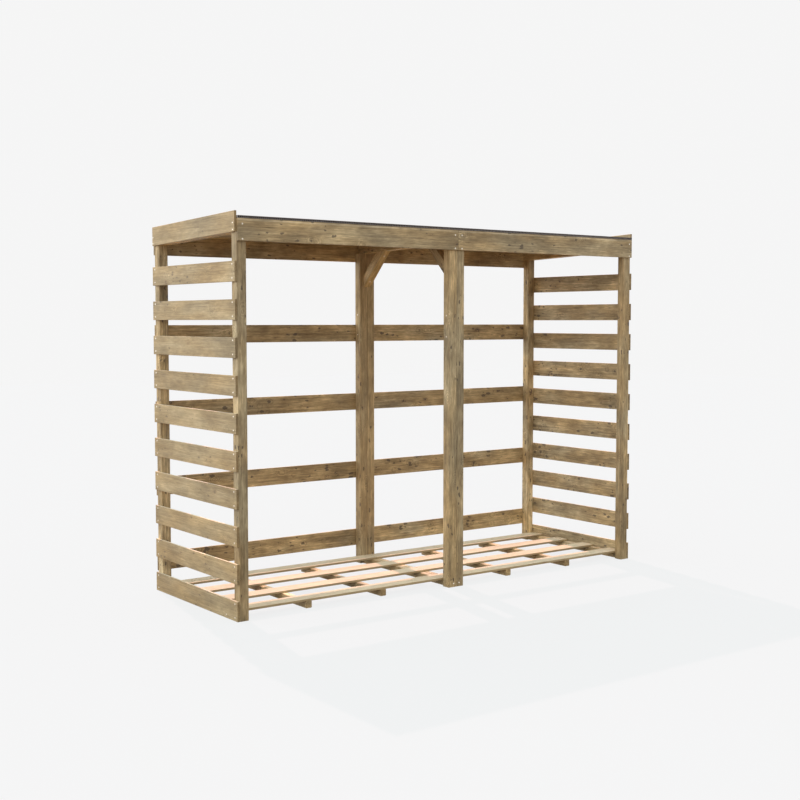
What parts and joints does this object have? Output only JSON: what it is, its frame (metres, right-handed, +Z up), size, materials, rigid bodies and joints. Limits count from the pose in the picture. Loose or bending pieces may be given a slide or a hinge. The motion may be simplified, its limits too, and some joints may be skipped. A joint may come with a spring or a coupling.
{
  "type": "log store",
  "caption": "Open-fronted timber log store: slatted sides, railed back, raised slat floor, low-pitched pent roof and braced centre posts.",
  "frame": {"origin": "centre of the bounding box in plan, at ground level", "axes": "+X to the right as seen from the open front, +Y to the rear, +Z up"},
  "size_m": [2.469, 0.841, 1.8],
  "materials": {
    "frame_timber": "sawn pressure-treated softwood, lightly weathered",
    "floor_timber": "sawn pale softwood",
    "roof_sheet": "matt black fluted sheet",
    "fixings": "yellow passivated screws"
  },
  "bodies": {
    "root": {"back_rail_left_1": "frame_timber", "back_rail_left_2": "frame_timber", "back_rail_left_3": "frame_timber", "back_rail_left_4": "frame_timber", "back_rail_right_1": "frame_timber", "back_rail_right_2": "frame_timber", "back_rail_right_3": "frame_timber", "back_rail_right_4": "frame_timber", "bargeboard_left": "frame_timber", "bargeboard_right": "frame_timber", "bearer_left_1": "frame_timber", "bearer_left_2": "frame_timber", "bearer_left_3": "frame_timber", "bearer_left_4": "frame_timber", "bearer_right_1": "frame_timber", "bearer_right_2": "frame_timber", "bearer_right_3": "frame_timber", "bearer_right_4": "frame_timber", "fascia_left": "frame_timber", "fascia_right": "frame_timber", "floor_slats_left": "floor_timber", "floor_slats_right": "floor_timber", "front_knee_brace": "frame_timber", "front_post_centre_left": "frame_timber", "front_post_centre_right": "frame_timber", "front_post_left": "frame_timber", "front_post_right": "frame_timber", "rafter_centre": "frame_timber", "rafter_left": "frame_timber", "rafter_right": "frame_timber", "rear_knee_brace": "frame_timber", "rear_post_centre_left": "frame_timber", "rear_post_centre_right": "frame_timber", "rear_post_left": "frame_timber", "rear_post_right": "frame_timber", "rear_top_board_left": "frame_timber", "rear_top_board_right": "frame_timber", "roof_deck": "frame_timber", "roof_sheet": "roof_sheet", "side_slats_left": "frame_timber", "side_slats_right": "frame_timber"}
  },
  "joints": []
}
